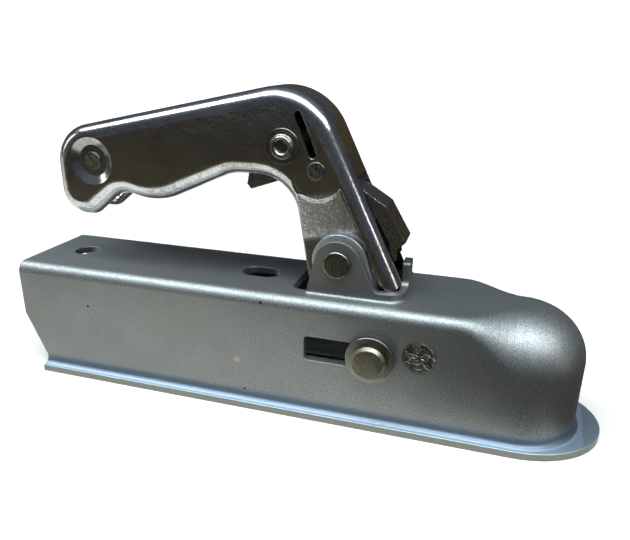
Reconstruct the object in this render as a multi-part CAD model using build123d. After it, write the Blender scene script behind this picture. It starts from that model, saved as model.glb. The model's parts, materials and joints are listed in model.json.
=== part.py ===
from build123d import *
import os
from math import atan2, cos, degrees, hypot, pi, radians, tan

# Trailer coupling head for a 50 mm ball, pressed-steel type for a 50 mm square drawbar.
# Millimetres. The origin is the centre of the ball seat, +X runs to the nose,
# +Y to the left side and +Z up. Handle shapes are drawn from the pivot pin's axis.

# Ball, drawbar and pressed sheet
ball_diameter = 50.0
drawbar_width = 50.0
drawbar_play = 0.5
sheet = 3.5
body_height = 60.0
rear_length = 254.0
top_corner_radius = 5.5
crown_flat = 5.0
crown_blend = 28.0
crown_steps = 8

# Rear end of the body
rear_kink_height = 31.5
rear_foot_setback = 10.3
rear_foot_height = 7.8

# Folded lip round the foot of the body
lip_bend_radius = 3.0
lip_flat = 1.25
nose_lip_reach = 40.4

# Bolt holes for the drawbar
bolt_hole_diameter = 13.0
rear_hole_back = 232.4
slotted_hole_back = 128.4
slotted_hole_length = 20.0

# Handle pivot and the ears folded up for it
pivot_back = 84.2
pivot_height = 44.6
pivot_pin_diameter = 10.0
pivot_head_diameter = 12.9
pivot_head_height = 1.9
ear_round_radius = 10.8
ear_foot_front = 20.0
ear_foot_rear = 14.6
pivot_bush_diameter = 14.4

# Window in the top, with a low rim drawn up round its front that carries the tab
window_rear = 23.0
window_corner = 4.0
rim_bend_radius = 1.5
rim_corner_radius = 5.0
rim_rise = 4.0
rim_saddle_radius = 3.0
tab_ahead = 27.9
tab_half_width = 5.0
tab_rise = 15.0
tab_tip_radius = 1.5

# Jaw pin, its slots and its washers
jaw_pin_back = 64.8
jaw_pin_height = 5.2
jaw_pin_diameter = 12.0
jaw_head_diameter = 15.9
jaw_head_height = 3.4
jaw_head_chamfer = 1.3
washer_diameter = 22.6
washer_thickness = 2.9
slot_clearance = 0.2
slot_end_play = 0.7
slot_corner = 2.0
jaw_travel = 25.1

# Fixed rivet behind the ball and the tube round it
guide_rivet_back = 43.1
guide_rivet_height = 9.0
guide_rivet_diameter = 14.9
guide_rivet_proud = 0.5
spacer_wall = 1.5

# Ball jaw
jaw_half_width = 20.0
jaw_bar_half_width = 12.0
jaw_depth = 18.0
jaw_wall = 4.0
jaw_seat_play = 0.3
jaw_bar_depth = 11.0
jaw_cup_depth = 12.0
jaw_lower_angle = 45.0
yoke_over = 2.0
yoke_half_width = 4.0
yoke_prong = 4.5

# Handle shell, drawn from the pivot axis
handle_half_width = 15.5
handle_sheet = 2.0
handle_roll = 7.5
handle_slope = 12.2
handle_front_angle = 64.0
limb_rear_angle = 80.6
elbow_corner = (-14.8, 80.6)
elbow_radius = 30.0
grip_rear = -149.8
grip_end_radius = 20.0
grip_foot_radius = 13.0
grip_heel = 9.4
grip_heel_front = -131.0
grip_heel_radius = 9.0
finger_crest = (-114.0, 23.4)
finger_crest_radius = 12.0
finger_hollow = (-95.0, 18.0)
finger_hollow_radius = 35.0
finger_stop = (-54.0, 36.5)
inner_elbow = (-24.3, 36.9)
inner_elbow_radius = 20.0
limb_drop = 12.5
limb_end_radius = 9.0
limb_heel_radius = 3.0
underside_gap_half = 9.4
spine_slot_half = 9.4
spine_slot_top = 38.5

# Joggle that narrows the handle between the ears
joggle_top = 33.0
joggle_foot = 12.3
joggle_slant = 12.0
joggle_start_depth = 0.8
joggle_depth = 3.0
joggle_band = 8.3
rivet_pad_radius = 12.7

# Handle details
grip_dish_place = (-127.9, 37.9)
grip_dish_radius = 11.8
grip_dish_floor_radius = 7.8
grip_dish_depth = 2.4
boss_place = (-27.5, 51.0)
slot_top_place = (-20.4, 64.8)
slot_foot_place = (-13.6, 48.1)
handle_slot_width = 3.6

# Rivets of the handle
grip_rivet_diameter = 7.0
grip_rivet_head_height = 0.9
boss_rivet_head_diameter = 16.2
boss_rivet_shank_diameter = 8.4
boss_rivet_bore = 6.8
boss_rivet_head_height = 2.2
catch_rivet_place = (-11.6, 41.1)
catch_rivet_diameter = 6.0
catch_rivet_head_diameter = 8.2
catch_rivet_head_height = 1.0

# Drive plates and drive pin
drive_plate_thickness = 3.0
drive_plate_radius = 12.9
drive_lug_radius = 8.0
drive_pin_place = (12.0, -22.0)
drive_pin_diameter = 8.0
drive_pin_play = 0.45

# Safety catch
catch_half_width = 8.4
catch_sheet = 2.0
catch_outline = [
    (-46.6, 36.9), (-34.0, 38.0), (-20.0, 43.0), (-11.6, 47.0), (-4.0, 43.5), (6.9, 33.4),
    (19.3, 25.8), (28.9, 9.9), (25.0, 6.4), (25.3, 1.0), (22.6, 1.0), (21.5, 9.0),
    (15.0, 20.0), (4.0, 28.5), (-11.6, 34.4), (-31.7, 34.0), (-45.6, 29.1), (-47.6, 31.4),
]
catch_hollow = [
    (-50.0, 33.4), (-46.6, 31.8), (-45.0, 31.3), (-31.7, 36.1), (-15.0, 35.5), (-9.0, 28.0),
    (15.0, 10.0), (15.0, -5.0), (30.0, -5.0), (30.0, 6.4), (24.6, 8.6), (17.8, 24.2), (5.9, 31.5),
    (-5.2, 41.8), (-11.6, 44.8), (-19.2, 41.2), (-26.0, 55.0), (-50.0, 55.0),
]
catch_room_radius = 5.8

# Springs
pivot_spring_wire = 2.4
pivot_spring_turns = 4
catch_spring_wire = 1.2
catch_spring_turns = 3

# Fits
running_fit = 0.05
seat_gap = 0.1
moving_gap = 0.4

# Derived places
inner_half = drawbar_width / 2 + drawbar_play
outer_half = inner_half + sheet
floor_z = outer_half - body_height
top_z = outer_half
wall_foot_z = floor_z + sheet + lip_bend_radius
lip_bend_y = outer_half + lip_bend_radius
lip_half = lip_bend_y + lip_flat
joggled_half = handle_half_width - joggle_depth
ear_inner_half = joggled_half + seat_gap + drive_plate_thickness + moving_gap
ear_outer_half = ear_inner_half + sheet
rim_reach = sheet + rim_bend_radius
rim_top = top_z + rim_rise
tab_rear_x = tab_ahead - pivot_back
pivot = (-pivot_back, 0, pivot_height)
jaw_pin_x = -jaw_pin_back
guide_rivet_x = -guide_rivet_back


def at_pivot(shape):
    return Pos(*pivot) * shape


def side_prism(face, half_width):
    return extrude(Plane.XZ * face, half_width, both=True)


def cross_rod(place, diameter, half_length):
    x, z = place
    rod = Cylinder(diameter / 2, 2 * half_length, rotation=(90, 0, 0))
    return Pos(x, 0, z) * rod


def cross_tube(place, outer_diameter, bore, half_length):
    return cross_rod(place, outer_diameter, half_length) - cross_rod(place, bore, half_length + 1)


def between_sides(shape, y_low, y_high):
    span = 1000
    slab = Pos(0, (y_low + y_high) / 2, 0) * Box(span, y_high - y_low, span)
    return shape & slab


def arch_face(x, half, low, top, corner):
    left = Line((-half, low), (-half, top - corner))
    left_arc = CenterArc((-half + corner, top - corner), corner, 180, -90)
    crown = Line((-half + corner, top), (half - corner, top))
    right_arc = CenterArc((half - corner, top - corner), corner, 90, -90)
    right = Line((half, top - corner), (half, low))
    foot = Line((half, low), (-half, low))
    return Plane.YZ.offset(x) * make_face([left, left_arc, crown, right_arc, right, foot])


def nose_face(half, low, top, corner):
    wall = Line((-half, low), (-half, top - corner))
    arc = CenterArc((-half + corner, top - corner), corner, 180, -90)
    crown = Line((-half + corner, top), (0, top))
    axis = Line((0, top), (0, low))
    foot = Line((0, low), (-half, low))
    return Plane.YZ * make_face([wall, arc, crown, axis, foot])


def body_form(half, low, top, corner, nose_corner, rear):
    straight = extrude(arch_face(rear, half, low, top, corner), -rear - crown_blend, dir=(1, 0, 0))
    sections = []
    for step in range(crown_steps + 1):
        share = step / crown_steps
        eased = (1 - cos(pi * share)) / 2
        radius = corner + (nose_corner - corner) * eased
        sections.append(arch_face(crown_blend * (share - 1), half, low, top, radius))
    crown = loft(sections, ruled=True)
    nose = revolve(nose_face(half, low, top, nose_corner), Axis.Z, 180)
    return straight + crown + nose


def lip_face(side):
    centre = (side * lip_bend_y, wall_foot_z)
    start = 180 if side > 0 else 0
    turn = 90 * side
    outer_bend = CenterArc(centre, lip_bend_radius, start, turn)
    upper = Line((side * lip_bend_y, floor_z + sheet), (side * lip_half, floor_z + sheet))
    edge = Line((side * lip_half, floor_z + sheet), (side * lip_half, floor_z))
    lower = Line((side * lip_half, floor_z), (side * lip_bend_y, floor_z))
    inner_bend = CenterArc(centre, lip_bend_radius + sheet, start, turn)
    joint = Line((side * inner_half, wall_foot_z), (side * outer_half, wall_foot_z))
    return Plane.YZ * make_face([outer_bend, upper, edge, lower, inner_bend, joint])


def body_lip():
    lip = revolve(lip_face(-1), Axis.Z, 180)
    for side in (-1, 1):
        lip += extrude(lip_face(side), rear_length, dir=(-1, 0, 0))
    nose_plate = Ellipse(nose_lip_reach, lip_half) - Circle(lip_bend_y)
    front = Pos(nose_lip_reach, 0) * Rectangle(2 * nose_lip_reach, 3 * lip_half)
    return lip + extrude(Pos(0, 0, floor_z) * (nose_plate & front), sheet)


def rim_section(inner, rim_height):
    bend_y = inner + rim_reach
    bend_z = top_z + rim_bend_radius
    outer_bend = CenterArc((bend_y, bend_z), rim_bend_radius, 270, -90)
    outer = Line((inner + sheet, bend_z), (inner + sheet, rim_height))
    top = Line((inner + sheet, rim_height), (inner, rim_height))
    wall = Line((inner, rim_height), (inner, bend_z))
    inner_bend = CenterArc((bend_y, bend_z), rim_reach, 270, -90)
    joint = Line((bend_y, top_z), (bend_y, top_z - sheet))
    return make_face([outer_bend, outer, top, wall, inner_bend, joint])


def with_saddles(outline, rim_level):
    inside = []
    for vertex in outline.vertices():
        if abs(vertex.Y - rim_level) < 0.01 and abs(vertex.X) < abs(outline.bounding_box().max.X) - 0.01:
            inside.append(vertex)
    return fillet(inside, rim_saddle_radius)


def ear_outline():
    foot_z = top_z - pivot_height
    rim_z = rim_top - pivot_height
    foot = Polyline((-ear_foot_rear, foot_z), (ear_foot_front, foot_z))
    round_top = CenterArc((0, 0), ear_round_radius, 0, 180)
    ear = make_hull([*foot.edges(), *round_top.edges()])
    rear = -ear_foot_rear
    front = tab_ahead - rim_corner_radius
    low = foot_z - rim_reach
    foot_strip = Pos((rear + front) / 2, (low + foot_z) / 2) * Rectangle(front - rear, foot_z - low)
    rim_strip = Pos(front / 2, (low + rim_z) / 2) * Rectangle(front, rim_z - low)
    return with_saddles(ear + foot_strip + rim_strip, rim_z)


def ear_fold(side):
    ear_top = pivot_height + ear_round_radius + 1
    length = ear_foot_rear + tab_ahead - rim_corner_radius
    strip = extrude(Plane.YZ * rim_section(ear_inner_half, ear_top), length, dir=(1, 0, 0))
    strip = Pos(-pivot_back - ear_foot_rear, 0, 0) * strip
    ear = strip & at_pivot(side_prism(ear_outline(), 2 * outer_half))
    return ear if side > 0 else mirror(ear, about=Plane.XZ)


def rim_corner():
    profile = Plane.XZ * rim_section(rim_corner_radius, rim_top)
    quarter = revolve(profile, Axis.Z, 90)
    centre_x = tab_rear_x - rim_corner_radius
    return Pos(centre_x, ear_inner_half - rim_corner_radius, 0) * quarter


def front_tab():
    half = ear_inner_half - rim_corner_radius
    tip = top_z + tab_rise
    low = top_z - rim_reach
    rim = Pos(0, (low + rim_top) / 2) * Rectangle(2 * half, rim_top - low)
    tab = Pos(0, (low + tip) / 2) * Rectangle(2 * tab_half_width, tip - low)
    outline = with_saddles(rim + tab, rim_top)
    outline = fillet(outline.vertices().group_by(Axis.Y)[-1], tab_tip_radius)
    plate = Pos(tab_rear_x - 1, 0, 0) * extrude(Plane.YZ * outline, rim_reach + 2, dir=(1, 0, 0))
    strip = side_prism(rim_section(0, tip), half)
    return plate & Pos(tab_rear_x, 0, 0) * strip


def window_cutter():
    rear = -pivot_back - window_rear
    ear_rear = -pivot_back - ear_foot_rear
    front = tab_rear_x + rim_reach
    half = ear_inner_half + rim_reach
    middle = (rear + front) / 2
    opening = Pos(middle, 0) * RectangleRounded(front - rear, 2 * ear_inner_half, window_corner)
    corner = rim_corner_radius + rim_reach
    rim_room = Pos((ear_rear + front) / 2, 0) * RectangleRounded(front - ear_rear, 2 * half, corner)
    square_rear = Pos(ear_rear + corner, 0) * Rectangle(2 * corner, 2 * half)
    plan = opening + rim_room + square_rear
    return extrude(Pos(0, 0, top_z - 2 * sheet) * plan, 3 * sheet)


def side_slot_face():
    rear = jaw_pin_x - jaw_travel - jaw_pin_diameter / 2 - slot_end_play
    front = jaw_pin_x + jaw_pin_diameter / 2 + slot_end_play
    height = jaw_pin_diameter + 2 * slot_clearance
    return Pos((rear + front) / 2, jaw_pin_height) * RectangleRounded(front - rear, height, slot_corner)


def rear_foot_cutter():
    rear = -rear_length
    foot_x = rear + rear_foot_setback
    outline = Polyline(
        (rear - 1, floor_z + rear_kink_height),
        (rear, floor_z + rear_kink_height),
        (foot_x, floor_z + rear_foot_height),
        (foot_x, floor_z - 1),
        (rear - 1, floor_z - 1),
        close=True,
    )
    return side_prism(make_face(outline), 2 * outer_half)


def make_housing():
    nose_corner = outer_half - crown_flat
    outer = body_form(outer_half, wall_foot_z, top_z, top_corner_radius, nose_corner, -rear_length)
    inner = body_form(
        inner_half, wall_foot_z - 1, top_z - sheet, top_corner_radius - sheet,
        nose_corner - sheet, -rear_length - 1,
    )
    shell = outer - inner + body_lip()
    shell -= window_cutter()
    corner = rim_corner()
    shell += corner + mirror(corner, about=Plane.XZ) + front_tab()
    for side in (-1, 1):
        shell += ear_fold(side)
    shell -= rear_foot_cutter()
    shell -= side_prism(side_slot_face(), 2 * outer_half)
    shell -= cross_rod((guide_rivet_x, guide_rivet_height), guide_rivet_diameter, 2 * outer_half)
    shell -= cross_rod((pivot[0], pivot[2]), pivot_pin_diameter, 2 * outer_half)
    bolt = Cylinder(bolt_hole_diameter / 2, 4 * sheet)
    shell -= Pos(-rear_hole_back, 0, top_z) * bolt
    slotted = SlotOverall(slotted_hole_length, bolt_hole_diameter)
    shell -= extrude(Pos(-slotted_hole_back, 0, top_z - 2 * sheet) * slotted, 4 * sheet)
    return shell


def limb_front_x(height):
    return elbow_corner[0] + (elbow_corner[1] - height) / tan(radians(handle_front_angle))


def limb_rear_x(height):
    return inner_elbow[0] + (inner_elbow[1] - height) / tan(radians(limb_rear_angle))


def handle_face():
    low = -2 * limb_drop
    top_fall = (elbow_corner[0] - grip_rear) * tan(radians(handle_slope))
    corners = [
        (limb_front_x(low), low),
        elbow_corner,
        (grip_rear, elbow_corner[1] - top_fall),
        (grip_rear, grip_heel),
        (grip_heel_front, grip_heel),
        finger_crest,
        finger_hollow,
        finger_stop,
        inner_elbow,
        (limb_rear_x(low), low),
    ]
    radii = [
        elbow_radius, grip_end_radius, grip_foot_radius, grip_heel_radius, finger_crest_radius,
        finger_hollow_radius, inner_elbow_radius, inner_elbow_radius,
    ]
    outline = FilletPolyline(*corners, radius=radii)
    return make_face([outline, Line(corners[-1], corners[0])])


def rolled_block(face, half_width, roll):
    block = side_prism(face, half_width)
    foot = block.bounding_box().min.Z
    rolled = []
    for edge in block.edges():
        middle = edge @ 0.5
        along_outline = abs(edge.bounding_box().size.Y) < 0.01 and abs(middle.Y) > 1
        if along_outline and middle.Z > foot + 0.1:
            rolled.append(edge)
    return fillet(rolled, roll)


def joggle_cutter(inset):
    outside = 2 * handle_half_width
    low = -3 * limb_drop
    top = joggle_top + inset
    reach = 4 * handle_half_width
    section = Polyline(
        (handle_half_width - joggle_start_depth - inset, top),
        (joggled_half - inset, joggle_foot + inset),
        (joggled_half - inset, low),
        (outside, low),
        (outside, top),
        close=True,
    )
    wedge = Pos(-reach, 0, 0) * extrude(Plane.YZ * make_face(section), 2 * reach, dir=(1, 0, 0))
    wedge = Rot(0, -joggle_slant, 0) * wedge
    ceiling = 2 * joggle_top
    panel = Polyline(
        (-reach, ceiling),
        (limb_front_x(ceiling) - joggle_band + inset, ceiling),
        (limb_front_x(low) - joggle_band + inset, low),
        (-reach, low),
        close=True,
    )
    wedge = wedge & side_prism(make_face(panel), outside)
    wedge -= cross_rod(catch_rivet_place, 2 * (rivet_pad_radius - inset), 2 * outside)
    return wedge + mirror(wedge, about=Plane.XZ)


def dish_cutter(inset):
    depth = grip_dish_depth + inset
    x, z = grip_dish_place
    cone = Cone(grip_dish_radius + inset, grip_dish_floor_radius + inset, depth)
    side = Pos(x, -handle_half_width + depth / 2, z) * Rot(-90, 0, 0) * cone
    return side + mirror(side, about=Plane.XZ)


def handle_cavity(outline):
    inner = offset(outline, -handle_sheet)
    hollow = rolled_block(inner, handle_half_width - handle_sheet, handle_roll - handle_sheet)
    hollow -= joggle_cutter(handle_sheet)
    hollow -= dish_cutter(handle_sheet)
    opening = side_prism(inner, underside_gap_half)
    drop = 3 * handle_sheet
    return hollow + Pos(-drop / 2, 0, -drop) * opening + Pos(-drop, 0, -drop / 2) * opening


def spine_slot():
    low = -2 * limb_drop
    depth = 2 * handle_roll
    outline = Polyline(
        (limb_front_x(spine_slot_top) - depth, spine_slot_top),
        (limb_front_x(spine_slot_top) + depth, spine_slot_top),
        (limb_front_x(low) + depth, low),
        (limb_front_x(low) - depth, low),
        close=True,
    )
    return side_prism(make_face(outline), spine_slot_half)


def handle_slot():
    dx = slot_foot_place[0] - slot_top_place[0]
    dz = slot_foot_place[1] - slot_top_place[1]
    middle = (slot_top_place[0] + dx / 2, slot_top_place[1] + dz / 2)
    length = hypot(dx, dz) + handle_slot_width
    turned = Rot(0, 0, degrees(atan2(dz, dx))) * SlotOverall(length, handle_slot_width)
    return side_prism(Pos(*middle) * turned, 2 * handle_half_width)


def limb_end():
    rise = 200.0
    rear = limb_rear_x(-limb_drop) - handle_sheet
    front = limb_front_x(-limb_drop)
    foot = Pos((rear + front) / 2, -limb_drop / 2) * Rectangle(front - rear, limb_drop)
    outline = foot + Pos(0, rise / 2) * Rectangle(4 * rise, rise)
    lowest = outline.vertices().group_by(Axis.Y)[0].sort_by(Axis.X)
    outline = fillet(lowest[-1], limb_end_radius)
    lowest = outline.vertices().group_by(Axis.Y)[0].sort_by(Axis.X)
    outline = fillet(lowest[0], limb_heel_radius)
    return side_prism(outline, 2 * handle_half_width)


def make_handle_shell():
    outline = handle_face()
    shell = rolled_block(outline, handle_half_width, handle_roll)
    shell -= handle_cavity(outline)
    shell -= joggle_cutter(0)
    shell -= dish_cutter(0)
    shell -= spine_slot()
    shell -= handle_slot()
    shell &= limb_end()
    through = 2 * handle_half_width
    shell -= cross_rod((0, 0), pivot_pin_diameter + 2 * running_fit, through)
    shell -= cross_rod(boss_place, boss_rivet_shank_diameter, through)
    shell -= cross_rod(grip_dish_place, grip_rivet_diameter, through)
    shell -= cross_rod(catch_rivet_place, catch_rivet_diameter, through)
    return at_pivot(shell)


def rod_with_heads(place, diameter, head_diameter, head_height, seat_half):
    x, z = place
    half_length = seat_half + head_height
    shank = cross_rod(place, diameter, seat_half)
    head = Cylinder(head_diameter / 2, head_height, rotation=(90, 0, 0))
    soft_edge = head.edges().group_by(Axis.Y)[0]
    head = fillet(soft_edge, 0.45 * head_height)
    near = Pos(x, -half_length + head_height / 2, z) * head
    return shank + near + mirror(near, about=Plane.XZ)


def make_pivot_pin():
    place = (pivot[0], pivot[2])
    return rod_with_heads(
        place, pivot_pin_diameter, pivot_head_diameter, pivot_head_height, ear_outer_half
    )


def make_pivot_bush():
    bore = pivot_pin_diameter + 2 * running_fit
    half_length = joggled_half - handle_sheet - moving_gap
    return at_pivot(cross_tube((0, 0), pivot_bush_diameter, bore, half_length))


def make_guide_rivet():
    place = (guide_rivet_x, guide_rivet_height)
    end = cross_rod(place, guide_rivet_diameter, outer_half + guide_rivet_proud)
    rim = end.edges().filter_by(GeomType.CIRCLE)
    return chamfer(rim, 0.8 * guide_rivet_proud)


def make_spacer_tube():
    place = (guide_rivet_x, guide_rivet_height)
    bore = guide_rivet_diameter + 2 * running_fit
    outer = guide_rivet_diameter + 2 * spacer_wall
    return cross_tube(place, outer, bore, inner_half - seat_gap)


def make_jaw_pin():
    seat = outer_half + seat_gap + washer_thickness
    half_length = seat + jaw_head_height
    pin = cross_rod((0, 0), jaw_pin_diameter, seat)
    head = cross_rod((0, 0), jaw_head_diameter, half_length)
    head = chamfer(head.edges().filter_by(GeomType.CIRCLE), jaw_head_chamfer)
    return Pos(jaw_pin_x, 0, jaw_pin_height) * (pin + head - between_sides(head, -seat, seat) + pin)


def make_jaw_washer(side):
    bore = jaw_pin_diameter + 2 * running_fit
    ring = Circle(washer_diameter / 2) - Circle(bore / 2)
    washer = extrude(Plane.XZ * ring, washer_thickness)
    rim = washer.edges().filter_by(GeomType.CIRCLE).group_by(SortBy.RADIUS)[-1]
    washer = fillet(rim, washer_thickness / 6)
    place_y = outer_half + seat_gap
    if side > 0:
        place_y += washer_thickness
    return Pos(jaw_pin_x, side * place_y, jaw_pin_height) * washer


def make_jaw_spacer(side):
    bore = jaw_pin_diameter + 2 * running_fit
    outer = jaw_pin_diameter + 2 * spacer_wall
    tube = cross_tube((jaw_pin_x, jaw_pin_height), outer, bore, inner_half)
    near = jaw_bar_half_width + seat_gap
    far = inner_half - moving_gap
    if side > 0:
        return between_sides(tube, near, far)
    return between_sides(tube, -far, -near)


def jaw_side_face(lug_x):
    bar_top = guide_rivet_height - guide_rivet_diameter / 2 - spacer_wall - moving_gap
    lug_radius = jaw_pin_diameter / 2 + jaw_wall
    nose_x = -ball_diameter / 2 * cos(radians(jaw_lower_angle))
    bar_bottom = bar_top - jaw_depth
    lug = Pos(lug_x, jaw_pin_height) * Circle(lug_radius)
    bar = Polyline(
        (lug_x - lug_radius, jaw_pin_height),
        (lug_x - lug_radius, bar_top - jaw_bar_depth),
        (-ball_diameter / 2 - jaw_cup_depth, bar_top - jaw_bar_depth),
        (-ball_diameter / 2, bar_bottom),
        (nose_x, bar_bottom),
        (nose_x, bar_top),
        (lug_x + lug_radius, bar_top),
        (lug_x + lug_radius, jaw_pin_height),
        close=True,
    )
    return make_face(bar) + lug


def make_coupling_jaw():
    outline = jaw_side_face(jaw_pin_x)
    bar = side_prism(outline, jaw_bar_half_width)
    cup_room = Pos(-ball_diameter / 2, 0) * Rectangle(2 * jaw_cup_depth, 4 * ball_diameter)
    cup = side_prism(outline & cup_room, jaw_half_width)
    upright = cup.edges().filter_by(Axis.Z).group_by(Axis.X)[0]
    cup = fillet(upright, jaw_cup_depth / 2)
    yoke = side_prism(yoke_face(), yoke_half_width)
    jaw = bar + cup + yoke
    jaw -= Sphere(ball_diameter / 2 + jaw_seat_play)
    jaw -= cross_rod((jaw_pin_x, jaw_pin_height), jaw_pin_diameter + 2 * running_fit, inner_half)
    return jaw


def yoke_face():
    pin_x = pivot[0] + drive_pin_place[0]
    pin_z = pivot[2] + drive_pin_place[1]
    swing = hypot(*drive_pin_place)
    slot_half = drive_pin_diameter / 2 + drive_pin_play
    half_width = slot_half + yoke_prong
    top = pin_z + drive_pin_diameter / 2 + yoke_over
    slot_foot = pivot[2] - swing - drive_pin_diameter / 2 - 2 * moving_gap
    body = Polyline(
        (pin_x - half_width, jaw_pin_height),
        (pin_x - half_width, top),
        (pin_x + half_width, top),
        (pin_x + half_width, jaw_pin_height),
        close=True,
    )
    slot = Pos(pin_x, (slot_foot + top) / 2 + 2) * Rectangle(2 * slot_half, top - slot_foot + 4)
    return make_face(body) - slot


def make_drive_plate(side):
    pivot_end = Circle(drive_plate_radius)
    pin_end = Pos(*drive_pin_place) * Circle(drive_lug_radius)
    outline = make_hull([*pivot_end.edges(), *pin_end.edges()])
    outline -= Circle(pivot_pin_diameter / 2 + running_fit)
    outline -= Pos(*drive_pin_place) * Circle(drive_pin_diameter / 2)
    plate = extrude(Plane.XZ * outline, drive_plate_thickness)
    inner_y = joggled_half + seat_gap
    if side > 0:
        inner_y += drive_plate_thickness
    return at_pivot(Pos(0, side * inner_y, 0) * plate)


def make_drive_pin():
    half_length = joggled_half + seat_gap + drive_plate_thickness
    pin = cross_rod(drive_pin_place, drive_pin_diameter, half_length)
    rim = pin.edges().filter_by(GeomType.CIRCLE)
    return at_pivot(chamfer(rim, 0.5))


def make_boss_rivet():
    seat = handle_half_width
    half_length = seat + boss_rivet_head_height
    shank = cross_rod(boss_place, boss_rivet_shank_diameter, seat)
    x, z = boss_place
    arc_radius = boss_rivet_head_height
    head = Cylinder(boss_rivet_head_diameter / 2, boss_rivet_head_height, rotation=(90, 0, 0))
    outer_rim = head.edges().group_by(Axis.Y)[0]
    head = fillet(outer_rim, 0.9 * arc_radius)
    near = Pos(x, -half_length + boss_rivet_head_height / 2, z) * head
    rivet = shank + near + mirror(near, about=Plane.XZ)
    dimple = cross_rod(boss_place, boss_rivet_bore, half_length)
    dimple -= cross_rod(boss_place, boss_rivet_bore + 1, half_length - 0.8 * boss_rivet_head_height)
    return at_pivot(rivet - dimple)


def make_boss_spacer():
    bore = boss_rivet_shank_diameter + 2 * running_fit
    outer = boss_rivet_shank_diameter + 2 * spacer_wall
    half_length = handle_half_width - handle_sheet - seat_gap
    return at_pivot(cross_tube(boss_place, outer, bore, half_length))


def make_grip_rivet():
    seat = handle_half_width - grip_dish_depth
    head = grip_rivet_diameter + 1.6
    return at_pivot(
        rod_with_heads(grip_dish_place, grip_rivet_diameter, head, grip_rivet_head_height, seat)
    )


def make_grip_spacer():
    bore = grip_rivet_diameter + 2 * running_fit
    outer = grip_rivet_diameter + 2 * spacer_wall
    half_length = handle_half_width - grip_dish_depth - handle_sheet - seat_gap
    return at_pivot(cross_tube(grip_dish_place, outer, bore, half_length))


def make_catch_rivet():
    return at_pivot(
        rod_with_heads(
            catch_rivet_place, catch_rivet_diameter, catch_rivet_head_diameter,
            catch_rivet_head_height, handle_half_width,
        )
    )


def make_catch_spacer(side):
    bore = catch_rivet_diameter + 2 * running_fit
    outer = catch_rivet_diameter + 2 * spacer_wall
    tube = cross_tube(catch_rivet_place, outer, bore, handle_half_width)
    near = catch_half_width + moving_gap
    far = handle_half_width - handle_sheet - seat_gap
    if side > 0:
        return at_pivot(between_sides(tube, near, far))
    return at_pivot(between_sides(tube, -far, -near))


def make_safety_catch():
    outline = make_face(Polyline(*catch_outline, close=True))
    catch = side_prism(outline, catch_half_width)
    inner = catch_half_width - catch_sheet
    room = Pos(*catch_rivet_place) * Circle(catch_room_radius)
    catch -= side_prism(room + catch_inner_face(), inner)
    catch -= cross_rod(catch_rivet_place, catch_rivet_diameter + 2 * running_fit, 2 * inner)
    return at_pivot(catch)


def catch_inner_face():
    return make_face(Polyline(*catch_hollow, close=True))


def make_coil(mean_radius, wire, turns, pitch):
    path = Helix(pitch=pitch, height=turns * pitch, radius=mean_radius)
    start = path @ 0
    section = Plane(origin=start, z_dir=path % 0) * Circle(wire / 2)
    coil = sweep(section, path=path)
    return Pos(0, 0, -turns * pitch / 2) * coil


def make_pivot_spring():
    mean_radius = pivot_bush_diameter / 2 + moving_gap + pivot_spring_wire / 2
    pitch = pivot_spring_wire + moving_gap
    coil = make_coil(mean_radius, pivot_spring_wire, pivot_spring_turns, pitch)
    return at_pivot(Rot(90, 0, 0) * coil)


def make_catch_spring():
    mean_radius = catch_rivet_diameter / 2 + moving_gap + catch_spring_wire / 2
    pitch = catch_spring_wire + moving_gap
    coil = make_coil(mean_radius, catch_spring_wire, catch_spring_turns, pitch)
    x, z = catch_rivet_place
    return at_pivot(Pos(x, 0, z) * Rot(90, 0, 0) * coil)


parts = {
    "housing": make_housing(),
    "pivot_pin": make_pivot_pin(),
    "pivot_bush": make_pivot_bush(),
    "pivot_spring": make_pivot_spring(),
    "guide_rivet": make_guide_rivet(),
    "spacer_tube": make_spacer_tube(),
    "handle_shell": make_handle_shell(),
    "drive_plate_left": make_drive_plate(1),
    "drive_plate_right": make_drive_plate(-1),
    "drive_pin": make_drive_pin(),
    "boss_rivet": make_boss_rivet(),
    "boss_spacer": make_boss_spacer(),
    "grip_rivet": make_grip_rivet(),
    "grip_spacer": make_grip_spacer(),
    "catch_rivet": make_catch_rivet(),
    "catch_spacer_left": make_catch_spacer(1),
    "catch_spacer_right": make_catch_spacer(-1),
    "safety_catch": make_safety_catch(),
    "catch_spring": make_catch_spring(),
    "coupling_jaw": make_coupling_jaw(),
    "jaw_pin": make_jaw_pin(),
    "jaw_spacer_left": make_jaw_spacer(1),
    "jaw_spacer_right": make_jaw_spacer(-1),
    "jaw_washer_left": make_jaw_washer(1),
    "jaw_washer_right": make_jaw_washer(-1),
}

os.makedirs("parts", exist_ok=True)
for name, shape in parts.items():
    export_step(shape, f"parts/{name}.step")
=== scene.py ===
import json
import math

import bmesh
import bpy
from mathutils import Matrix, Vector, noise as field


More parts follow.
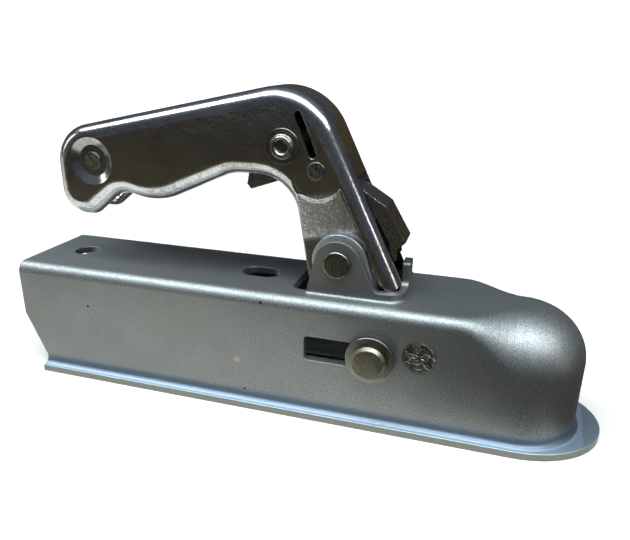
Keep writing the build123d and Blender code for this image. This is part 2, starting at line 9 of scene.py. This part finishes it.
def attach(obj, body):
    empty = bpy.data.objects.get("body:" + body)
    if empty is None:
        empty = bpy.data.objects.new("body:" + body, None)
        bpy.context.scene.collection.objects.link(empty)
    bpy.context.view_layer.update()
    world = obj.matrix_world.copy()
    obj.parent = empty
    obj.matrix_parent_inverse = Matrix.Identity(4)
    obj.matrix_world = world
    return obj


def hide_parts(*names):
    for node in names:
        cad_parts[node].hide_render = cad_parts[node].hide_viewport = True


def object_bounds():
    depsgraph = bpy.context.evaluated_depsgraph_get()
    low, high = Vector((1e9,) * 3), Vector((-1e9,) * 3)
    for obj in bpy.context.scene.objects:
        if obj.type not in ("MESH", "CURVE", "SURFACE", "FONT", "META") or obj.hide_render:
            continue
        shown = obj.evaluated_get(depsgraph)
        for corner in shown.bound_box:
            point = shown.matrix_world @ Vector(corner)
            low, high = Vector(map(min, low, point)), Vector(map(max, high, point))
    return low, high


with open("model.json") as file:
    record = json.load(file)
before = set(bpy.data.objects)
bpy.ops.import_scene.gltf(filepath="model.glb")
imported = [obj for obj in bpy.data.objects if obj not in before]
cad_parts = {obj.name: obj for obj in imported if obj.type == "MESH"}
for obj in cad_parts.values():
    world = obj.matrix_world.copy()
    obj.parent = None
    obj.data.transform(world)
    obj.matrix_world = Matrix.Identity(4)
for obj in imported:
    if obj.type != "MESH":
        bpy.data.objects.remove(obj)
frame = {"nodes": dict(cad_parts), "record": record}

cad_low, cad_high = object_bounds()
MM = 0.001

# Camera, found from the edges of the body in the photograph. Degrees and millimetres.
CAMERA_AZIMUTH = 16.186
CAMERA_ELEVATION = 20.35
CAMERA_ROLL = 1.032
CAMERA_PLACE = (-23.90, -262.61, 134.77)
LENS = 33.526
SENSOR = 36.0
CLIP_START_M = 0.01
CLIP_END_M = 20

# The floor and the backdrop that it curves up to, in metres
FLOOR_SIZE = 8.0
FLOOR_COLOUR = (0.58, 0.523, 0.452, 1)
FLOOR_ROUGHNESS = 0.75
BACKDROP_AWAY = 3.0
BACKDROP_HEIGHT = 0.62
COVE_RADIUS = 0.6
COVE_STEPS = 12

# The room's own light, low down and overhead. It turns between two sines of elevation.
ROOM_LOW = (0.080, 0.093, 0.120, 1)
ROOM_HIGH = (0.215, 0.265, 0.345, 1)
ROOM_TURN = (0.55, 0.97)

# Area lights, in metres and watts: name, place, target, width, height, power, colour
MIDDLE = (-0.08, 0, 0.03)
COOL = (0.86, 0.94, 1.0)
NEUTRAL = (0.96, 0.98, 1.0)
LIGHTS = (
    ("strip", (-0.30, -0.36, 1.16), (-0.23, 0, 0.03), 2.4, 0.44, 62, (0.76, 0.90, 1.0)),
    ("crown", (0.80, -0.36, 0.88), (0, 0, 0.02), 0.4, 0.3, 5.0, COOL),
    ("backdrop", (-0.8, 1.1, 1.7), (-0.8, 3.4, 0.45), 6.4, 1.2, 310, COOL),
    ("rim_right", (1.30, -0.35, 0.30), MIDDLE, 0.14, 0.6, 1.5, NEUTRAL),
    ("rim_left", (-1.45, -0.35, 0.42), MIDDLE, 0.16, 0.6, 1.8, NEUTRAL),
)

# Dark cards, in metres. The one over the floor lies between a near and a far edge.
CARD_COLOUR = (0.028, 0.021, 0.011, 1)
CARD_ROUGHNESS = 0.9
CARD_ABOVE_FLOOR = 0.004
CARD_REACH = 1.6
CARD_AWAY = 1.7
CARD_TOP = 0.55
CARD_NEAR_EDGE = (
    (-1.15, -0.24), (-0.22, -0.185), (-0.12, -0.12), (-0.07, -0.075),
    (-0.042, -0.052), (0.03, -0.034), (0.045, 0.14), (-CARD_REACH, 0.14),
)
CARD_FAR_EDGE = (
    (-1.15, -CARD_REACH), (-0.22, -CARD_REACH), (-0.12, -CARD_REACH), (-0.07, -CARD_REACH),
    (CARD_REACH, -CARD_REACH), (CARD_REACH, -0.034), (CARD_REACH, CARD_AWAY),
    (-CARD_REACH, CARD_AWAY),
)

# Places on the object's side (x, z), in millimetres from the ball's centre
GUIDE_RIVET = (-43.1, 9.0)
BOSS = (-111.7, 95.6)
PIVOT = (-84.2, 44.6)

# The handle's side and its narrowed limb, in millimetres from the middle plane. The limb's
# flat starts at LIMB_FACE below the joggle and comes in by LIMB_TAPER for each millimetre.
HANDLE_SIDE = 15.5
LIMB_LEAN = 12.0
JOGGLE_HEIGHT = 33.0
LIMB_FACE = 14.7
LIMB_FACE_LEAST = 12.5
LIMB_TAPER = 0.1063

# The drawn step, in millimetres and degrees, in the frame of the pivot
PAD_CENTRE = (-11.6, 41.1)
PAD_RADIUS = 12.45
PAD_STEP_START = -156
PAD_STEP_SWEEP = 132
PAD_STEP_WIDTH = 2.1
PAD_STEP_TAPER = 0.7
PAD_STEP_MARGIN = 0.25
PAD_STEP_OUTER = 15.53
PAD_STEP_OVER = 0.02
PAD_STEP_ALONG = 40
PAD_STEP_ACROSS = 5

# The near half of the flared rivet's profile: radius, and how far it stands out from the
# handle's side. It ends on the shank, inside the handle.
BOSS_FACE = (
    (0.0, 0.25), (1.6, 0.30), (2.3, 0.45), (2.8, 1.2), (3.2, 1.85), (3.7, 2.12), (4.3, 2.05),
    (4.8, 1.6), (5.1, 0.95), (5.5, 0.55), (6.0, 0.45), (6.6, 0.62), (7.3, 0.85), (7.8, 0.75),
    (8.05, 0.4), (8.08, 0.02), (4.1, 0.0), (4.1, -5.5),
)

# The peened rivet's face and the rim round it: radius and y, in millimetres
PEENED_FACE = -29.45
PEENED_RING = 0.45
PEENED_RINGS = 15
PEENED_RIM = ((7.1, -29.4), (7.35, -29.2), (7.43, -28.8), (7.43, -20.0))
PEENED_FROM = 28.9
PEENED_RADIUS = 7.2
PEENED_FADE = 0.9

# Its relief: how far the ridges twist for each mm of radius, how many there are round the
# face and along the radius, how far coarse noise bends them each way, the noises' frequency
# and slice, and the depth of the face, the ridges, the fine and the coarse noise in mm
PEENED_TWIST = 0.16
RIDGES_ROUND = 6
RIDGES_OUT = 0.9
BEND_ROUND = 2.6
BEND_OUT = 3.0
COARSE_NOISE = (0.42, 3.1)
FINE_NOISE = (1.3, 8.4)
PEENED_DEPTHS = (0.36, 0.34, 0.30, 0.15)

TURNED_SEGMENTS = 96
SHARP_CAD = 30
SHARP_TURNED = 35
SHARP_PAD_STEP = 60
SHARP_SOFTENED = 40

# How far a piece's edges are broken, in millimetres
SOFTENED = (
    ("jaw_pin", 0.35), ("jaw_washer_left", 0.35), ("jaw_washer_right", 0.35),
    ("pivot_pin", 0.35), ("catch_rivet", 0.3), ("grip_rivet", 0.25),
    ("drive_plate_left", 0.3), ("drive_plate_right", 0.3),
)

# The metals' noises: detail and roughness of each, and where they turn from one look to the
# next. Then the coarse grain of the handle's limb.
CLOUD = (5.0, 0.6)
GRAIN = (2.0, 0.6)
BLOTS = (6.0, 0.7)
WAVE = (2.0, 0.5)
COARSE = (4.0, 0.65)
COLOUR_TURN = (0.42, 0.58)
STAIN_TURN = (0.52, 0.72)
GLOSS_TURN = (0.3, 0.7)
COARSE_MM = 0.9
COARSE_DEPTH_MM = 0.20
COARSE_ROUGHER = 0.11
CLOUD_MM = 22.0
BEVEL_SAMPLES = 6

# Each metal: light and dark colour, roughness from and to, grain (size, share of the colour,
# depth), cloud size, waves (size, depth), stain (colour, share, size), rounding of edges in
# the look, bands of painted shade and painted highlight by height (start and full height,
# colour, share), spots of rust and of pits painted dark as shade (place, full and outer
# radius, colour) and the planes round a coarse face (direction, start, full). In millimetres.
# Near black for pits: painted shade for their hollows, which the mesh does not have
PIT_SHADE = (0.03, 0.028, 0.025, 1)
RUST = (0.30, 0.235, 0.15, 1)
RUST_PALE = (0.29, 0.29, 0.27, 1)
LIMB_AXIS = (-0.208, 0, 0.978)
METALS = {
    "body_zinc": dict(
        light=(0.266, 0.268, 0.253, 1), dark=(0.150, 0.152, 0.141, 1), roughness=(0.49, 0.56),
        grain=(0.50, 0.88, 0.05), wave=(14.0, 0.05), edge_mm=0.8,
        stain=((0.27, 0.25, 0.215, 1), 0.3, 70.0),
        bands=(
            # Painted shade with a bluish reflected tint over the flange's bend and everything
            # below it
            (-21.5, -25.0, (0.120, 0.142, 0.168, 1), 1.0),
            # Painted pale-blue highlight on the lip's edge and below it
            (-27.1, -27.45, (0.37, 0.43, 0.49, 1), 1.0),
            # Painted warmer, darker reflection on the lip's upright side
            (-27.55, -27.75, (0.20, 0.198, 0.172, 1), 1.0),
            # Painted shade on the ears and the other upstands above the body's top
            (30.5, 33.5, (0.17, 0.165, 0.15, 1), 0.75),
        ),
        spots=(
            # The near-black spots are painted shade for small pits with no hollow in the mesh; the
            # two rust spots are rust.
            ((-213.6, -29.0, 9.8), 0.4, 0.9, PIT_SHADE),
            ((-118.0, -28.6, 25.0), 0.4, 1.1, PIT_SHADE),
            ((-131.0, -29.0, -7.0), 1.0, 2.8, RUST),
            ((-130.6, -29.0, -6.6), 0.6, 1.8, RUST_PALE),
            ((-127.0, -29.0, -22.5), 0.3, 0.8, PIT_SHADE),
        ),
    ),
    "handle_zinc": dict(
        light=(0.54, 0.53, 0.52, 1), dark=(0.30, 0.285, 0.27, 1), roughness=(0.12, 0.25),
        grain=(1.1, 0.45, 0.034), wave=(6.5, 0.10), edge_mm=0.3,
        stain=((0.20, 0.165, 0.12, 1), 0.7, 26.0),
        coarse=(
            ((0.899, 0, 0.438), -41.3, -43.6), (LIMB_AXIS, 94.6, 92.6), (LIMB_AXIS, 70.0, 75.0),
        ),
    ),
    "plate_zinc": dict(
        light=(0.66, 0.67, 0.66, 1), dark=(0.42, 0.42, 0.40, 1), roughness=(0.34, 0.48),
        grain=(0.8, 0.4, 0.02), wave=(6.0, 0.05), edge_mm=0.6,
    ),
    "pin_zinc": dict(
        light=(0.24, 0.225, 0.185, 1), dark=(0.13, 0.12, 0.095, 1), roughness=(0.20, 0.34),
        grain=(0.9, 0.4, 0.03), cloud_mm=12.0, wave=(5.0, 0.06),
        stain=((0.13, 0.10, 0.06, 1), 0.6, 12.0),
    ),
    "rivet_steel": dict(
        light=(0.24, 0.225, 0.19, 1), dark=(0.055, 0.05, 0.038, 1), roughness=(0.28, 0.50),
        grain=(1.2, 0.5, 0.10), cloud_mm=5.0,
    ),
    "catch_dark": dict(
        light=(0.36, 0.35, 0.34, 1), dark=(0.18, 0.175, 0.17, 1), roughness=(0.18, 0.34),
        grain=(1.0, 0.4, 0.03), wave=(6.0, 0.08), edge_mm=0.3,
    ),
    "spring_steel": dict(
        light=(0.45, 0.45, 0.45, 1), dark=(0.30, 0.30, 0.30, 1), roughness=(0.25, 0.40),
        grain=(0.5, 0.4, 0.01),
    ),
    "jaw_iron": dict(
        light=(0.28, 0.28, 0.28, 1), dark=(0.14, 0.14, 0.14, 1), roughness=(0.45, 0.65),
        grain=(0.8, 0.5, 0.08),
    ),
    "washer_zinc": dict(
        light=(0.26, 0.255, 0.225, 1), dark=(0.17, 0.165, 0.14, 1), roughness=(0.24, 0.36),
        grain=(0.8, 0.4, 0.02), wave=(6.0, 0.04), edge_mm=0.3,
    ),
    # The jaw pin: an olive plating tone, made darker than the other pins as painted shade, since
    # its face mirrors the bright floor
    "pin_olive_shaded": dict(
        light=(0.20, 0.187, 0.14, 1), dark=(0.13, 0.117, 0.085, 1), roughness=(0.30, 0.40),
        grain=(0.9, 0.3, 0.012), cloud_mm=12.0, wave=(6.0, 0.05),
    ),
}


def node_tree(name):
    material = bpy.data.materials.new(name)
    material.use_nodes = True
    tree = material.node_tree
    tree.nodes.clear()
    output = tree.nodes.new("ShaderNodeOutputMaterial")
    shader = tree.nodes.new("ShaderNodeBsdfPrincipled")
    tree.links.new(shader.outputs["BSDF"], output.inputs["Surface"])
    return material, tree, shader


def noise(tree, vector, size_mm, detail, roughness):
    node = tree.nodes.new("ShaderNodeTexNoise")
    node.inputs["Scale"].default_value = 1 / (size_mm * MM)
    node.inputs["Detail"].default_value = detail
    node.inputs["Roughness"].default_value = roughness
    tree.links.new(vector, node.inputs["Vector"])
    return node.outputs["Fac"]


def span(tree, value, low, high, to_low=0.0, to_high=1.0):
    node = tree.nodes.new("ShaderNodeMapRange")
    node.interpolation_type = "SMOOTHSTEP"
    node.inputs["From Min"].default_value = low
    node.inputs["From Max"].default_value = high
    node.inputs["To Min"].default_value = to_low
    node.inputs["To Max"].default_value = to_high
    tree.links.new(value, node.inputs["Value"])
    return node.outputs["Result"]


def mix(tree, share, first, second):
    node = tree.nodes.new("ShaderNodeMix")
    node.data_type = "RGBA"
    colour_inputs = [s for s in node.inputs if s.type == "RGBA"]
    factor = [s for s in node.inputs if s.type == "VALUE"][0]
    colour_output = [s for s in node.outputs if s.type == "RGBA"][0]
    tree.links.new(share, factor)
    for socket, colour in zip(colour_inputs, (first, second)):
        if isinstance(colour, tuple):
            socket.default_value = colour
        else:
            tree.links.new(colour, socket)
    return colour_output


def maths(tree, operation, first, second):
    node = tree.nodes.new("ShaderNodeMath")
    node.operation = operation
    for socket, value in zip(node.inputs, (first, second)):
        if isinstance(value, (int, float)):
            socket.default_value = value
        else:
            tree.links.new(value, socket)
    return node.outputs["Value"]


def measure(tree, operation, place, vector):
    node = tree.nodes.new("ShaderNodeVectorMath")
    node.operation = operation
    tree.links.new(place, node.inputs[0])
    node.inputs[1].default_value = vector
    return node.outputs["Value"]


def near_spot(tree, place, centre_mm, inner_mm, outer_mm):
    """1 within inner_mm of a point on the object, falling to 0 at outer_mm."""
    away = measure(tree, "DISTANCE", place, tuple(v * MM for v in centre_mm))
    return span(tree, away, inner_mm * MM, outer_mm * MM, 1.0, 0.0)


def along(tree, place, direction, low_mm, high_mm):
    """0 until low_mm along a direction on the object, turning to 1 at high_mm."""
    reached = measure(tree, "DOT_PRODUCT", place, direction)
    return span(tree, reached, low_mm * MM, high_mm * MM)


def bump(tree, shader, height_mm, edge_mm):
    """Relief from a height in millimetres, with edges rounded in the look by edge_mm."""
    relief = tree.nodes.new("ShaderNodeBump")
    relief.inputs["Strength"].default_value = 1.0
    relief.inputs["Distance"].default_value = MM
    tree.links.new(height_mm, relief.inputs["Height"])
    tree.links.new(relief.outputs["Normal"], shader.inputs["Normal"])
    if edge_mm:
        edge = tree.nodes.new("ShaderNodeBevel")
        edge.samples = BEVEL_SAMPLES
        edge.inputs["Radius"].default_value = edge_mm * MM
        tree.links.new(edge.outputs["Normal"], relief.inputs["Normal"])


def plated_metal(name, light, dark, roughness, grain, cloud_mm=CLOUD_MM, wave=None, stain=None,
                 edge_mm=0.0, bands=(), spots=(), coarse=()):
    """Plated steel: cloudy colour, salt-and-pepper grain, press waves, stains and rust, pits
    painted dark as shade, and painted shade and painted highlight by height.
    """
    material, tree, shader = node_tree(name)
    place = tree.nodes.new("ShaderNodeTexCoord").outputs["Object"]
    grain_mm, grain_share, grain_depth_mm = grain
    cloud = noise(tree, place, cloud_mm, *CLOUD)
    fine = noise(tree, place, grain_mm, *GRAIN)
    share = maths(tree, "ADD", maths(tree, "MULTIPLY", cloud, 1 - grain_share),
                  maths(tree, "MULTIPLY", fine, grain_share))
    colour = mix(tree, span(tree, share, *COLOUR_TURN), dark, light)
    if stain is not None:
        stain_colour, stain_share, stain_mm = stain
        blots = noise(tree, place, stain_mm, *BLOTS)
        blots = span(tree, blots, *STAIN_TURN, 0.0, stain_share)
        colour = mix(tree, blots, colour, stain_colour)
    # Tints by height: painted shade and painted highlight
    for low_mm, high_mm, tint, amount in bands:
        reached = along(tree, place, (0, 0, 1), low_mm, high_mm)
        colour = mix(tree, maths(tree, "MULTIPLY", reached, amount), colour, tint)
    # Spots: rust, and pits painted dark as shade
    for centre, inner, outer, tint in spots:
        colour = mix(tree, near_spot(tree, place, centre, inner, outer), colour, tint)
    tree.links.new(colour, shader.inputs["Base Color"])
    shader.inputs["Metallic"].default_value = 1.0

    smoothest, roughest = roughness
    gloss = span(tree, share, *GLOSS_TURN, roughest, smoothest)
    height = maths(tree, "MULTIPLY", fine, grain_depth_mm)
    if coarse:
        inside = along(tree, place, *coarse[0])
        for plane in coarse[1:]:
            inside = maths(tree, "MULTIPLY", inside, along(tree, place, *plane))
        gloss = maths(tree, "ADD", gloss, maths(tree, "MULTIPLY", inside, COARSE_ROUGHER))
        grit = maths(tree, "MULTIPLY", noise(tree, place, COARSE_MM, *COARSE), inside)
        height = maths(tree, "ADD", height, maths(tree, "MULTIPLY", grit, COARSE_DEPTH_MM))
    tree.links.new(gloss, shader.inputs["Roughness"])
    if wave is not None:
        wave_mm, wave_depth_mm = wave
        swell = maths(tree, "MULTIPLY", noise(tree, place, wave_mm, *WAVE), wave_depth_mm)
        height = maths(tree, "ADD", height, swell)
    bump(tree, shader, height, edge_mm)
    return material


def smooth(mesh):
    for polygon in mesh.polygons:
        polygon.use_smooth = True


def shade(node, sharp_above):
    smooth(node.data)
    node.data.set_sharp_from_angle(angle=math.radians(sharp_above))


def dress(name, material):
    node = nodes_cad[name]
    node.data.materials.clear()
    node.data.materials.append(material)


def soften(name, width_mm):
    """Breaks the sharp edges of a piece, so that they catch the light."""
    edge = nodes_cad[name].modifiers.new("edges", "BEVEL")
    edge.width = width_mm * MM
    edge.segments = 2
    edge.limit_method = "ANGLE"
    edge.angle_limit = math.radians(SHARP_SOFTENED)
    edge.harden_normals = False


def placed(name, data):
    thing = bpy.data.objects.new(name, data)
    bpy.context.scene.collection.objects.link(thing)
    return thing


def made(name, work, material):
    """A new object from a finished bmesh."""
    mesh = bpy.data.meshes.new(name)
    work.to_mesh(mesh)
    work.free()
    piece = placed(name, mesh)
    piece.data.materials.append(material)
    return piece


def turned(name, place, profile, body, slot, node, relief=None):
    """A piece turned about an axis along Y, from points (radius, y) in mm."""
    work = bmesh.new()
    rings = []
    for radius, y in profile:
        ring = []
        for step in range(1 if radius == 0 else TURNED_SEGMENTS):
            angle = 2 * math.pi * step / TURNED_SEGMENTS
            dx, dz = radius * math.cos(angle), radius * math.sin(angle)
            lift = relief(dx, dz, y) if relief else 0.0
            corner = ((place[0] + dx) * MM, (y + lift) * MM, (place[1] + dz) * MM)
            ring.append(work.verts.new(corner))
        rings.append(ring)
    for first, second in zip(rings, rings[1:]):
        for step in range(TURNED_SEGMENTS):
            after = (step + 1) % TURNED_SEGMENTS
            corners = [
                first[step % len(first)], first[after % len(first)],
                second[after % len(second)], second[step % len(second)],
            ]
            kept = list(dict.fromkeys(corners))
            if len(kept) > 2:
                work.faces.new(kept)
    bmesh.ops.recalc_face_normals(work, faces=work.faces)
    piece = made(name, work, metals[slot])
    shade(piece, SHARP_TURNED)
    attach(piece, body)
    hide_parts(node)


def both_ends(half_profile):
    """Completes a profile from the near end (y below 0) to the middle with its mirror image."""
    return half_profile + [(radius, -y) for radius, y in reversed(half_profile)]


def peened(dx, dz, y):
    """Ridges and hollows that a riveting die leaves in a flush head, in millimetres."""
    radius = math.hypot(dx, dz)
    if abs(y) < PEENED_FROM:
        return 0.0
    turn = math.atan2(dz, dx) + PEENED_TWIST * radius
    inside = max(0.0, min(1.0, (PEENED_RADIUS - radius) / PEENED_FADE))
    coarse, fine = (
        field.noise(Vector((dx * often, dz * often, layer)))
        for often, layer in (COARSE_NOISE, FINE_NOISE)
    )
    ridges = math.sin(RIDGES_ROUND * turn + BEND_ROUND * coarse)
    ridges *= math.sin(RIDGES_OUT * radius + BEND_OUT * coarse)
    depth = inside * sum(
        most * share for most, share in zip(PEENED_DEPTHS, (1.0, ridges, fine, coarse))
    )
    return math.copysign(max(0.0, depth), -y)


def make_guide_rivet():
    half = [(PEENED_RING * step, PEENED_FACE) for step in range(PEENED_RINGS + 1)]
    half += PEENED_RIM
    turned("guide_rivet_peened", GUIDE_RIVET, both_ends(half), "body", "rivet_steel",
           "guide_rivet", peened)


def make_boss_rivet():
    """The flared tube rivet at the elbow: outer ring, raised inner ring and a hollow middle."""
    half = [(radius, -HANDLE_SIDE - out) for radius, out in BOSS_FACE]
    turned("boss_rivet_flared", BOSS, both_ends(half), "handle", "pin_zinc", "boss_rivet")


def limb_face(x, z):
    """How far out the narrowed limb's flat lies, at a point in the frame of the pivot."""
    lean = math.radians(LIMB_LEAN)
    height = -x * math.sin(lean) + z * math.cos(lean)
    if height > JOGGLE_HEIGHT:
        return HANDLE_SIDE
    return max(LIMB_FACE_LEAST, LIMB_FACE - LIMB_TAPER * (JOGGLE_HEIGHT - height))


def make_pad_step(side):
    """The drawn step round the foot of the raised pad of the small rivet."""
    name = "pad_step_left" if side > 0 else "pad_step_right"
    work = bmesh.new()
    rows = []
    for step in range(PAD_STEP_ALONG + 1):
        share = step / PAD_STEP_ALONG
        angle = math.radians(PAD_STEP_START + PAD_STEP_SWEEP * share)
        width = PAD_STEP_WIDTH * math.sin(math.pi * share) ** PAD_STEP_TAPER
        row = []
        for part in range(PAD_STEP_ACROSS + 1):
            ease = part / PAD_STEP_ACROSS
            radius = PAD_RADIUS + (width + PAD_STEP_MARGIN) * ease
            x = PAD_CENTRE[0] + radius * math.cos(angle)
            z = PAD_CENTRE[1] + radius * math.sin(angle)
            inner = limb_face(x, z) + PAD_STEP_OVER
            fall = (1 - math.cos(math.pi * ease)) / 2
            y = side * (PAD_STEP_OUTER + (inner - PAD_STEP_OUTER) * fall)
            row.append(work.verts.new(((PIVOT[0] + x) * MM, y * MM, (PIVOT[1] + z) * MM)))
        rows.append(row)
    for first, second in zip(rows, rows[1:]):
        for part in range(PAD_STEP_ACROSS):
            work.faces.new((first[part], first[part + 1], second[part + 1], second[part]))
    bmesh.ops.recalc_face_normals(work, faces=work.faces)
    piece = made(name, work, metals["handle_zinc"])
    shade(piece, SHARP_PAD_STEP)
    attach(piece, "handle")


def make_floor():
    material, _, shader = node_tree("floor_pale")
    shader.inputs["Base Color"].default_value = FLOOR_COLOUR
    shader.inputs["Roughness"].default_value = FLOOR_ROUGHNESS
    half = FLOOR_SIZE / 2
    low = cad_low.z
    start = BACKDROP_AWAY - COVE_RADIUS
    profile = [(-half, low), (start, low)]
    for step in range(1, COVE_STEPS + 1):
        angle = math.radians(90 * step / COVE_STEPS)
        rise = COVE_RADIUS * (1 - math.cos(angle))
        profile.append((start + COVE_RADIUS * math.sin(angle), low + rise))
    profile.append((BACKDROP_AWAY, low + BACKDROP_HEIGHT))
    work = bmesh.new()
    rows = [[work.verts.new((x, y, z)) for x in (-half, half)] for y, z in profile]
    for first, second in zip(rows, rows[1:]):
        work.faces.new((first[0], first[1], second[1], second[0]))
    floor = made("floor", work, material)
    smooth(floor.data)


def dark_card(name, corners, faces):
    """A dark studio card that only reflections see."""
    material, _, shader = node_tree(name)
    shader.inputs["Base Color"].default_value = CARD_COLOUR
    shader.inputs["Roughness"].default_value = CARD_ROUGHNESS
    shader.inputs["Specular IOR Level"].default_value = 0.0
    mesh = bpy.data.meshes.new(name)
    mesh.from_pydata(corners, [], faces)
    card = placed(name, mesh)
    card.data.materials.append(material)
    card.visible_camera = False
    card.visible_diffuse = False
    card.visible_shadow = False
    card.visible_transmission = False


def make_cards():
    """The floor stays pale to the eye, but polished sides mirror a darker room beyond it."""
    low = cad_low.z + CARD_ABOVE_FLOOR
    corners = [(x, y, low) for x, y in CARD_NEAR_EDGE + CARD_FAR_EDGE]
    count = len(CARD_NEAR_EDGE)
    faces = [(step, step + 1, count + step + 1, count + step) for step in range(count - 1)]
    dark_card("card_floor", corners, faces)
    wall = [
        (x, CARD_AWAY, z) for x, z in (
            (-CARD_REACH, low), (CARD_REACH, low), (CARD_REACH, CARD_TOP), (-CARD_REACH, CARD_TOP),
        )
    ]
    dark_card("card_wall", wall, [(0, 1, 2, 3)])


def make_room():
    world = bpy.data.worlds.new("room")
    bpy.context.scene.world = world
    world.use_nodes = True
    tree = world.node_tree
    tree.nodes.clear()
    output = tree.nodes.new("ShaderNodeOutputWorld")
    background = tree.nodes.new("ShaderNodeBackground")
    background.inputs["Strength"].default_value = 1.0
    direction = tree.nodes.new("ShaderNodeTexCoord").outputs["Generated"]
    parts = tree.nodes.new("ShaderNodeSeparateXYZ")
    tree.links.new(direction, parts.inputs["Vector"])
    share = span(tree, parts.outputs["Z"], *ROOM_TURN)
    tree.links.new(mix(tree, share, ROOM_LOW, ROOM_HIGH), background.inputs["Color"])
    tree.links.new(background.outputs["Background"], output.inputs["Surface"])


def area_light(name, place, target, width, height, power, colour):
    data = bpy.data.lights.new(name, "AREA")
    data.shape = "RECTANGLE"
    data.size = width
    data.size_y = height
    data.energy = power
    data.color = colour
    light = placed(name, data)
    light.location = place
    direction = Vector(target) - Vector(place)
    light.rotation_mode = "QUATERNION"
    light.rotation_quaternion = direction.to_track_quat("-Z", "Y")


def make_camera():
    azimuth, elevation, roll = (
        math.radians(v) for v in (CAMERA_AZIMUTH, CAMERA_ELEVATION, CAMERA_ROLL)
    )
    back = Vector((
        math.sin(azimuth) * math.cos(elevation),
        -math.cos(azimuth) * math.cos(elevation),
        math.sin(elevation),
    ))
    level = Vector((math.cos(azimuth), math.sin(azimuth), 0))
    upward = back.cross(level)
    right = level * math.cos(roll) + upward * math.sin(roll)
    up = upward * math.cos(roll) - level * math.sin(roll)
    data = bpy.data.cameras.new("camera")
    data.lens = LENS
    data.sensor_width = SENSOR
    data.clip_start = CLIP_START_M
    data.clip_end = CLIP_END_M
    camera = placed("camera", data)
    turn = Matrix((right, up, back)).transposed().to_4x4()
    camera.matrix_world = Matrix.Translation(Vector(CAMERA_PLACE) * MM) @ turn
    bpy.context.scene.camera = camera


nodes_cad = frame["nodes"]
metals = {name: plated_metal(name, **look) for name, look in METALS.items()}
for entry in frame["record"]["subparts"]:
    dress(entry["node"], metals[entry["material_slot"]])
dress("jaw_washer_left", metals["washer_zinc"])
dress("jaw_washer_right", metals["washer_zinc"])
# The jaw pin takes the darker olive copy: its plating's tone with painted shade
dress("jaw_pin", metals["pin_olive_shaded"])
for node in nodes_cad.values():
    shade(node, SHARP_CAD)
for name, width_mm in SOFTENED:
    soften(name, width_mm)

make_guide_rivet()
make_boss_rivet()
make_pad_step(-1)
make_pad_step(1)

make_floor()
make_cards()
make_room()
for light in LIGHTS:
    area_light(*light)
make_camera()
bpy.context.scene.view_settings.view_transform = "Standard"
